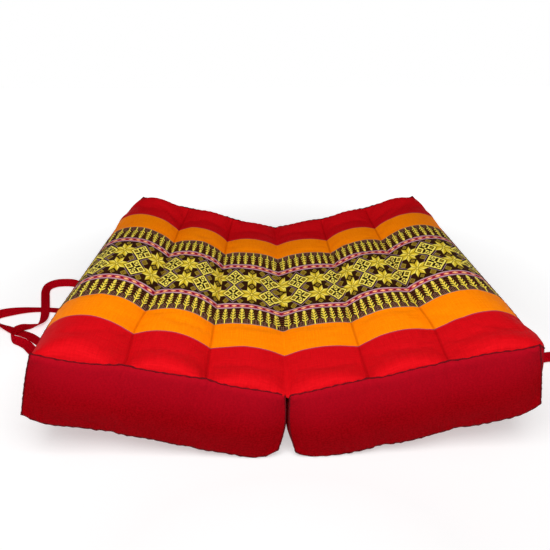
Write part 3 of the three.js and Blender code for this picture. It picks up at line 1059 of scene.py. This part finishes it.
@dataclass
class SeamEdges:
    """The pinched edges of a half's cover, where its panels are sewn together."""

    form: CushionForm
    half: HalfTraits
    radius: float = 0.85
    lower_share: float = 1.4
    pucker: float = 0.35
    step: float = 3.0

    @property
    def name(self) -> str:
        """Name of the piece."""
        return self.half.node.replace("half", "seams")

    def rim(self, level: Level) -> np.ndarray:
        """A line along the seam round the top or underside cloth, but for the fold side of the top."""
        wide = int(self.form.width / self.step)
        deep = int(self.form.depth / self.step)
        to_outer = np.linspace(0, 1, wide, endpoint=False)
        to_back = np.linspace(-1, 1, deep, endpoint=False)
        a = np.concatenate([to_outer, np.ones(deep), 1 - to_outer, np.zeros(deep)])
        b = np.concatenate([-np.ones(wide), to_back, np.ones(wide), -to_back])
        if level is Level.TOP:
            a, b = a[:-deep], b[:-deep]
        point, _ = self.form.cover(a, b, np.full_like(a, float(level.value)), self.half)
        return self.form.settle(point, self.half)

    def corner(self, a: float, b: float) -> np.ndarray:
        """A line down a corner seam."""
        c = np.linspace(0, 1, int(self.form.boxing / self.step))
        point = self.form.strip(np.full_like(c, a), np.full_like(c, b), c, self.half)
        return self.form.settle(point, self.half)

    def build(self) -> bpy.types.Object:
        """Makes the edges as thin uneven cords along the seams."""
        curve = bpy.data.curves.new(self.name, "CURVE")
        curve.dimensions = "3D"
        curve.bevel_depth = self.radius * MM
        curve.bevel_resolution = 1
        lines = [(self.rim(Level.TOP), False, 1.0), (self.rim(Level.UNDER), True, self.lower_share)]
        lines += [(self.corner(a, b), False, 1.0) for a in (0.0, 1.0) for b in (-1.0, 1.0)]
        for points, closed, share in lines:
            spline = curve.splines.new("POLY")
            spline.points.add(len(points) - 1)
            places = np.column_stack([points * MM, np.ones(len(points))])
            spline.points.foreach_set("co", places.ravel())
            count = np.arange(len(points))
            swell = share * (1 + self.pucker * np.sin(count * 1.9) * np.sin(count * 0.37 + 1.0))
            spline.points.foreach_set("radius", swell)
            spline.use_cyclic_u = closed
            spline.material_index = int(closed)
        curve.materials.append(None)
        curve.materials.append(None)
        holder = bpy.data.objects.new(self.name, curve)
        bpy.context.scene.collection.objects.link(holder)
        bpy.context.view_layer.update()
        mesh = bpy.data.meshes.new_from_object(holder.evaluated_get(bpy.context.evaluated_depsgraph_get()))
        bpy.data.objects.remove(holder)
        places = vertex_places(mesh)
        places[:, 2] = np.maximum(places[:, 2], 0)
        put_vertices(mesh, places)
        mesh.name = self.name
        return link(self.name, mesh)

    def dress(self, piece: bpy.types.Object, upper: bpy.types.Material, lower: bpy.types.Material) -> None:
        """Gives the upper edges dark thread with painted shade of the seam groove and the lower edges painted light
        from the floor, and tells the frame what they ride on.
        """
        piece.data.materials[0] = upper
        piece.data.materials[1] = lower
        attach(piece, "root")


@dataclass
class Tie:
    """A flat tape of doubled cloth, sewn to an outer end strip and lying on the floor."""

    node: str
    side: int
    hangs_at: float
    floor_way: tuple[tuple[float, float, float, float], ...]
    width: float = 15.0
    thickness: float = 1.6
    spacing: float = 3.0

    HANG = (
        (112.5, 292.9, 292.9),
        (106.0, 294.2, 293.4),
        (95.8, 294.9, 293.4),
        (85.0, 295.0, 293.3),
        (74.0, 295.0, 293.2),
        (63.6, 295.0, 293.2),
        (48.0, 295.1, 293.4),
        (34.0, 295.9, 294.3),
        (20.5, 298.4, 296.9),
    )

    def rows(self) -> np.ndarray:
        """The middle of the tape and its roll, from where it is sewn on to its end."""
        hang = [
            (-left if self.side < 0 else right, self.hangs_at, height, 0.0)
            for height, left, right in self.HANG
        ]
        return np.array([*hang, *self.floor_way], dtype=float)

    def way(self) -> np.ndarray:
        """Evenly spaced rows on a smooth curve through the tape's rows."""
        rows = self.rows()
        first, last = 2 * rows[0] - rows[1], 2 * rows[-1] - rows[-2]
        padded = np.vstack([first, rows, last])
        gaps = np.linalg.norm(np.diff(padded[:, :3], axis=0), axis=1) ** 0.5
        knots = np.concatenate([[0], np.cumsum(gaps)])
        fine = []
        for i in range(1, len(padded) - 2):
            t = np.linspace(knots[i], knots[i + 1], 24, endpoint=i == len(padded) - 3)[:, None]
            k0, k1, k2, k3 = knots[i - 1 : i + 3]
            p0, p1, p2, p3 = padded[i - 1 : i + 3]
            a1 = (k1 - t) / (k1 - k0) * p0 + (t - k0) / (k1 - k0) * p1
            a2 = (k2 - t) / (k2 - k1) * p1 + (t - k1) / (k2 - k1) * p2
            a3 = (k3 - t) / (k3 - k2) * p2 + (t - k2) / (k3 - k2) * p3
            b1 = (k2 - t) / (k2 - k0) * a1 + (t - k0) / (k2 - k0) * a2
            b2 = (k3 - t) / (k3 - k1) * a2 + (t - k1) / (k3 - k1) * a3
            fine.append((k2 - t) / (k2 - k1) * b1 + (t - k1) / (k2 - k1) * b2)
        fine = np.vstack(fine)
        run = np.concatenate([[0], np.cumsum(np.linalg.norm(np.diff(fine[:, :3], axis=0), axis=1))])
        even = np.linspace(0, run[-1], int(run[-1] / self.spacing) + 1)
        return np.column_stack([np.interp(even, run, fine[:, k]) for k in range(4)])

    def frames(self, way: np.ndarray) -> tuple[np.ndarray, np.ndarray]:
        """The sideways and upward directions of the tape at each row."""
        middle = way[:, :3]
        tangent = np.gradient(middle, axis=0)
        tangent /= np.linalg.norm(tangent, axis=1, keepdims=True)
        share = np.clip((middle[:, 2] - 12) / 28, 0, 1)
        hanging = share * share * (3 - 2 * share)
        up = np.stack([self.side * hanging, np.zeros(len(way)), np.ones(len(way))], axis=1)
        up -= (up * tangent).sum(1, keepdims=True) * tangent
        up /= np.linalg.norm(up, axis=1, keepdims=True)
        roll = np.radians(way[:, 3])[:, None]
        turned = up * np.cos(roll) + np.cross(tangent, up) * np.sin(roll)
        return np.cross(turned, tangent), turned

    def build(self) -> tuple[bpy.types.Object, np.ndarray]:
        """Makes the tape and gives its middle line too."""
        way = self.way()
        sideways, up = self.frames(way)
        count = len(way) - 1
        box = stepped_box((count, 6, 1))
        for face in box.faces:
            face.smooth = True
        mesh = bpy.data.meshes.new(self.node.replace("tie", "tape"))
        box.to_mesh(mesh)
        box.free()
        raw = vertex_places(mesh)
        index = np.rint((raw[:, 0] + 0.5) * count).astype(int)
        across = raw[:, 1] * self.width
        edge = np.abs(raw[:, 1]) * 2
        half_thick = self.thickness / 2 * (1 - 0.45 * edge**6)
        cup = 0.35 * (1 - edge**2)
        height = np.where(raw[:, 2] > 0, half_thick, -half_thick) + cup - 0.2
        places = way[index, :3] + sideways[index] * across[:, None] + up[index] * height[:, None]
        places[:, 2] = np.maximum(places[:, 2], 0.1)
        put_vertices(mesh, places * MM)
        loops = np.empty(len(mesh.loops), dtype=int)
        mesh.loops.foreach_get("vertex_index", loops)
        uv = mesh.uv_layers.new(name=CLOTH_MAP)
        flat = np.stack([index * self.spacing, across], axis=1)
        uv.data.foreach_set("uv", (flat[loops] * MM).ravel())
        piece = link(mesh.name, mesh)
        rounding = piece.modifiers.new("rounding", "SUBSURF")
        rounding.levels = 1
        rounding.render_levels = 1
        return piece, way[:, :3] * MM

    def dress(self, piece: bpy.types.Object, middle: np.ndarray, material: bpy.types.Material) -> None:
        """Gives the tape its cloth, hangs it on the root and hides the tie's solid."""
        piece.data.materials.append(material)
        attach(piece, "root")
        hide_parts(self.node)
        tuple(middle[0])
        self.width * MM
        [tuple(point) for point in middle]


TIES = (
    Tie("tie_left_rear", -1, 100, (
        (-304, 104, 9.5, 0), (-317, 111, 4.0, 0), (-333, 126, 2.6, -10), (-350, 147, 4.4, -25),
        (-368, 171, 6.8, -45), (-388, 187, 8.2, -62), (-408, 190, 8.4, -66), (-425, 187, 8.2, -60),
        (-435, 177, 7.2, -45), (-434, 161, 5.6, -25), (-428, 144, 4.4, -10), (-420, 124, 4.4, 0),
        (-412, 104, 4.6, 0), (-405, 84, 4.0, 5), (-401, 66, 3.8, 15), (-402, 52, 5.4, 30),
        (-409, 42, 8.8, 60), (-420, 37, 10.8, 80), (-429, 29, 10.8, 85), (-430, 17, 9.6, 80),
        (-423, 7, 8.6, 75), (-411, 2, 8.0, 60), (-399, -4, 6.4, 40), (-387, -14, 4.0, 20),
        (-376, -24, 2.0, 5),
    )),
    Tie("tie_left_front", -1, -100, (
        (-304, -97, 9.5, 0), (-317, -90, 4.0, 0), (-331, -75, 2.0, 0), (-342, -52, 1.4, 0),
        (-349, -22, 1.4, 0), (-353, 10, 1.4, 0), (-356, 42, 1.4, 0), (-361, 70, 1.4, 0),
        (-371, 90, 1.5, 0), (-389, 101, 1.5, 0), (-409, 104, 1.5, 0), (-430, 104, 2.0, -4),
        (-450, 99, 4.2, -20), (-466, 91, 6.6, -42), (-479, 82, 8.2, -62), (-485, 71, 8.6, -75),
        (-478, 61, 7.8, -60), (-465, 53, 5.4, -35), (-450, 46, 3.0, -12), (-435, 38, 1.5, 0),
        (-420, 32, 1.5, 0), (-405, 24, 1.6, 0), (-392, 14, 1.6, 0), (-381, 6, 1.5, 0),
        (-371, 0, 1.4, 0),
    )),
    Tie("tie_right_front", 1, -100, (
        (303, -97, 9.5, 0), (317, -92, 4.8, 8), (338, -84, 5.0, 25), (362, -74, 7.4, 48),
        (384, -64, 8.6, 62), (403, -58, 8.0, 52), (421, -57, 6.0, 32), (437, -66, 3.2, 10),
        (445, -84, 1.6, 0), (443, -105, 1.4, 0), (431, -122, 1.4, 0), (413, -132, 1.4, 0),
        (394, -141, 1.4, 0), (375, -152, 1.4, 0), (364, -170, 1.4, 0), (366, -191, 1.4, 0),
        (380, -205, 1.4, 0), (400, -208, 1.4, 0), (418, -199, 1.4, 0), (428, -182, 1.4, 0),
        (430, -162, 1.4, 0),
    )),
    Tie("tie_right_rear", 1, 100, (
        (304, 103, 9.5, 0), (318, 109, 4.0, 0), (335, 119, 1.8, 0), (350, 134, 1.4, 0),
        (359, 154, 1.4, 0), (357, 176, 1.4, 0), (343, 192, 1.4, 0), (322, 198, 1.4, 0),
        (299, 196, 1.4, 0), (277, 188, 1.4, 0), (258, 175, 1.4, 0), (244, 156, 1.4, 0),
        (238, 132, 1.4, 0), (242, 108, 1.4, 0), (252, 86, 1.4, 0), (262, 62, 1.4, 0),
        (264, 36, 1.4, 0), (256, 12, 1.4, 0), (242, -8, 1.4, 0), (226, -22, 1.4, 0),
    )),
)


@dataclass
class Studio:
    """Camera at the photograph's angle, soft light and a pale floor."""

    eye: tuple[float, float, float] = (-0.0234, -0.6084, 0.4526)
    yaw: float = -0.026
    pitch: float = 0.497
    lens: float = 30.67
    surround: float = 0.1
    floor_reach: float = 3.2
    floor_glow: float = 0.5

    def camera(self) -> None:
        """Makes the camera."""
        data = bpy.data.cameras.new("photo_view")
        data.sensor_width = 36.0
        data.lens = self.lens
        data.clip_start = 0.01
        camera = bpy.data.objects.new("photo_view", data)
        bpy.context.scene.collection.objects.link(camera)
        cos_yaw, sin_yaw = math.cos(self.yaw), math.sin(self.yaw)
        cos_pitch, sin_pitch = math.cos(self.pitch), math.sin(self.pitch)
        right = Vector((cos_yaw, sin_yaw, 0))
        ahead = Vector((-sin_yaw * cos_pitch, cos_yaw * cos_pitch, -sin_pitch))
        up = right.cross(ahead)
        turn = Matrix((right, up, -ahead)).transposed().to_4x4()
        camera.matrix_world = Matrix.Translation(self.eye) @ turn
        bpy.context.scene.camera = camera

    def sun(self, name: str, toward: tuple[float, float, float], strength: float, spread: float) -> None:
        """A soft distant light.

        Args:
            name: its name.
            toward: the direction that it comes from.
            strength: its power on a surface that faces it.
            spread: its apparent width in degrees, which softens the shadows.
        """
        data = bpy.data.lights.new(name, "SUN")
        data.energy = strength
        data.angle = math.radians(spread)
        lamp = bpy.data.objects.new(name, data)
        bpy.context.scene.collection.objects.link(lamp)
        lamp.rotation_euler = (-Vector(toward)).to_track_quat("-Z", "Y").to_euler()

    def panel(self, name: str, place: tuple[float, float, float], toward: tuple[float, float, float], power: float,
              size: tuple[float, float]) -> None:
        """A soft flat light.

        Args:
            name: its name.
            place: where it hangs.
            toward: the point that it faces.
            power: its power in watts.
            size: the lengths of its sides in metres.
        """
        data = bpy.data.lights.new(name, "AREA")
        data.energy = power
        data.shape = "RECTANGLE"
        data.size, data.size_y = size
        lamp = bpy.data.objects.new(name, data)
        bpy.context.scene.collection.objects.link(lamp)
        lamp.location = place
        lamp.visible_camera = False
        lamp.rotation_euler = (Vector(toward) - Vector(place)).to_track_quat("-Z", "Y").to_euler()

    def light(self) -> None:
        """Sets the lights and a plain surround that is white at the horizon."""
        scene = bpy.context.scene
        scene.view_settings.view_transform = "Standard"
        world = bpy.data.worlds.new("surround")
        scene.world = world
        world.use_nodes = True
        nodes, links = world.node_tree.nodes, world.node_tree.links
        background = nodes["Background"]
        background.inputs["Color"].default_value = (1, 1, 1, 1)
        direction = nodes.new("ShaderNodeTexCoord")
        parts = nodes.new("ShaderNodeSeparateXYZ")
        links.new(direction.outputs["Generated"], parts.inputs[0])
        band = nodes.new("ShaderNodeMapRange")
        for key, value in (("From Min", 0.1), ("From Max", 0.25), ("To Min", 1.0), ("To Max", self.surround)):
            band.inputs[key].default_value = value
        links.new(parts.outputs[2], band.inputs["Value"])
        seen = nodes.new("ShaderNodeLightPath")
        strength = nodes.new("ShaderNodeMath")
        strength.operation = "MAXIMUM"
        links.new(band.outputs[0], strength.inputs[0])
        links.new(seen.outputs["Is Camera Ray"], strength.inputs[1])
        links.new(strength.outputs[0], background.inputs["Strength"])
        self.sun("left", (-0.25, -0.3, 1.0), 0.25, 45.0)
        self.sun("overhead", (0.2, 0.2, 1.0), 0.1, 60.0)
        self.panel("front_panel", (-0.03, -0.5, 0.68), (0.0, -0.1, 0.1), 6.0, (0.6, 0.35))

    def floor(self) -> None:
        """Lays a pale floor that glows as a light table does, with painted glow that grows away from the middle and
        painted shade in its darker colour just in front of the cushion.
        """
        plane = bmesh.new()
        bmesh.ops.create_grid(plane, x_segments=1, y_segments=1, size=self.floor_reach)
        mesh = bpy.data.meshes.new("floor")
        plane.to_mesh(mesh)
        plane.free()
        mesh.transform(Matrix.Translation((0, 0, -0.0004)))
        graph = Graph("floor_glow_and_shade")
        x, y = graph.parts(graph.node("ShaderNodeTexCoord", {}, {}, "Object"))
        # painted shade: the base colour is darkest just in front of the cushion, where its shadow falls
        away = (x * x * 0.36 + (y + 0.35) * (y + 0.35)).math("SQRT")
        # painted glow: the floor gives off more light further from the middle
        far = (x * x + y * y).math("SQRT")
        pale = graph.finish(
            Base_Color=graph.blend((away - 0.1) / 0.3, (0.42, 0.42, 0.42, 1), (0.75, 0.75, 0.75, 1)),
            Roughness=0.9,
            Emission_Color=graph.blend((far - 0.45) / 0.5, (*[self.floor_glow] * 3, 1), (1, 1, 1, 1)),
            Emission_Strength=1.0,
        )
        mesh.materials.append(pale)
        link("floor", mesh)

    def build(self) -> None:
        """Makes all of it."""
        self.camera()
        self.light()
        self.floor()


def main() -> None:
    """Builds the cushion in its studio and reports each piece."""
    logging.basicConfig(level=logging.INFO, format="%(name)s: %(message)s")
    Studio().build()

    tape = PlainCloth("tie_cloth", (186, 2, 22), (150, 0, 12)).make()
    for tie in TIES:
        piece, middle = tie.build()
        tie.dress(piece, middle, tape)
        log.info("%s with %d faces", piece.name, len(piece.data.polygons))

    form = CushionForm()
    left = HalfTraits(
        "left_half",
        turned=True,
        crown_share=1.2,
        ripple_phase=2.1,
        bulge=4.0,
        flare=8.0,
        back_draw=13.0,
        back_end=-1,
        drop_at_fold=1.2,
        drop_at_corner=9.0,
        front_rise=4.2,
        rise_span=2.0,
        back_lift_at_fold=6.0,
        back_lift_at_corner=6.0,
        inner_lift=21.0,
        outer_lift=10.0,
        woven_lead=5.5,
        woven_tuck=5.0,
        back_bump=9.5,
        back_ear=7.5,
        front_ear=0.0,
    )
    right = HalfTraits(
        "right_half",
        turned=False,
        crown_share=0.8,
        ripple_phase=0.4,
        bulge=10.0,
        flare=2.0,
        back_draw=3.0,
        back_end=1,
        drop_at_fold=3.3,
        drop_at_corner=7.2,
        front_rise=-4.0,
        rise_span=0.55,
        back_lift_at_fold=6.0,
        back_lift_at_corner=1.0,
        inner_lift=16.0,
        outer_lift=16.0,
        woven_lead=-7.0,
        woven_tuck=7.0,
        back_bump=7.5,
        back_ear=4.0,
        front_ear=3.5,
    )
    top = StripedCloth().make()
    # the side cloth's last colour is a painted sheen towards the top of each strip
    side = PlainCloth("side_cloth", (150, 2, 13), (128, 0, 6), painted_top_sheen=(156, 10, 28)).make()
    under = PlainCloth("underside_cloth", (150, 2, 14), (130, 0, 8)).make()
    # upper seam edge: dark thread, darkened further as painted shade in the groove under the top cloth's lip
    upper_edge_shade = Thread("upper_seam_shade", (112, 2, 16)).make()
    # lower seam edge: coloured lighter than its cloth as painted light bounced up from the floor
    lower_edge_light = Thread("lower_seam_light", (236, 34, 46)).make()
    for half in (left, right):
        cover = HalfCover(form, half)
        piece = cover.build()
        cover.dress(piece, top, side, under)
        log.info("%s with %d faces", piece.name, len(piece.data.polygons))
        seams = SeamEdges(form, half)
        piece = seams.build()
        seams.dress(piece, upper_edge_shade, lower_edge_light)
        log.info("%s with %d faces", piece.name, len(piece.data.polygons))
    join = FoldJoin(form)
    piece = join.build(left, right)
    join.dress(piece, top)
    log.info("%s with %d faces", piece.name, len(piece.data.polygons))


if __name__ == "__main__":
    main()
